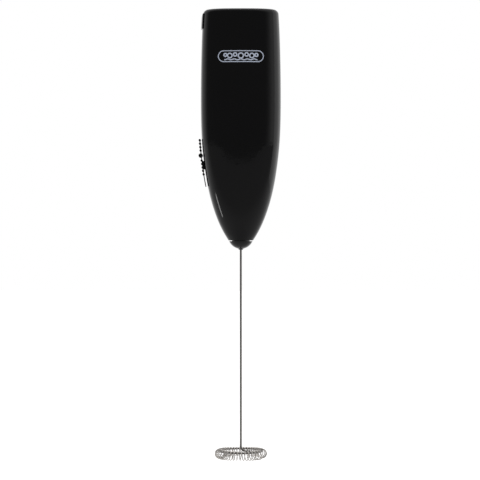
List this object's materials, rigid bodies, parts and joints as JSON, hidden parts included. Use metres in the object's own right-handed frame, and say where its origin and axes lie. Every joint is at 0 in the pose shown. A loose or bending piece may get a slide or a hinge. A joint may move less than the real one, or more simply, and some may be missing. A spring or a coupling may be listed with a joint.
{
  "type": "milk_frother",
  "caption": "Hand-held battery milk frother with a tapering two-shell handle, side thumb switch, rear battery cover and a spring-ring whisk on a long wire shaft.",
  "frame": {"origin": "centre of the flat closed end of the handle", "axes": "+Z out of the closed end and away from the whisk, -Y out of the front of the handle, -X out of the switch's side"},
  "size_m": [0.0392, 0.025, 0.2136],
  "materials": {
    "black_shell": "gloss",
    "black_grip": "matte",
    "black_abs": "matte",
    "whisk_steel": "satin",
    "zinc_steel": "satin",
    "contact_nickel": "gloss",
    "bronze": "satin",
    "copper": "gloss",
    "cell_wrap": "gloss",
    "acetal": "matte",
    "ferrite": "matte"
  },
  "bodies": {
    "handle": {"front_shell": "black_shell", "rear_shell": "black_shell", "nose_cap": "black_shell", "nose_bush": "acetal", "switch_blade": "contact_nickel", "battery_tray": "black_abs", "cell_left": "cell_wrap", "cell_right": "cell_wrap", "bridge_contact": "contact_nickel", "upper_spring": "contact_nickel", "lower_spring": "contact_nickel", "negative_contact": "contact_nickel", "positive_contact": "contact_nickel", "motor_can": "zinc_steel", "motor_end_bell": "black_abs", "motor_terminals": "copper", "motor_bush": "bronze", "motor_magnets": "ferrite", "housing_screws": "zinc_steel"},
    "whisk": {"rotor_core": "zinc_steel", "rotor_windings": "copper", "commutator": "copper", "motor_shaft": "zinc_steel", "coupling": "acetal", "whisk_wire": "whisk_steel", "whisk_coil": "whisk_steel"},
    "switch": {"switch_slider": "black_grip", "switch_carrier": "acetal"},
    "cover": {"battery_cover": "black_shell"}
  },
  "joints": [
    {"name": "whisk_spin", "type": "hinge", "parent": "handle", "child": "whisk", "pos_m": [0, 0, -0.1], "axis": [0, 0, -1], "continuous": true},
    {"name": "switch_slide", "type": "slide", "parent": "handle", "child": "switch", "axis": [0.1485, 0, -0.9889], "range_m": [0, 0.004]},
    {"name": "battery_cover_slide", "type": "slide", "parent": "handle", "child": "cover", "axis": [0, 0, 1], "range_m": [0, 0.07]}
  ]
}
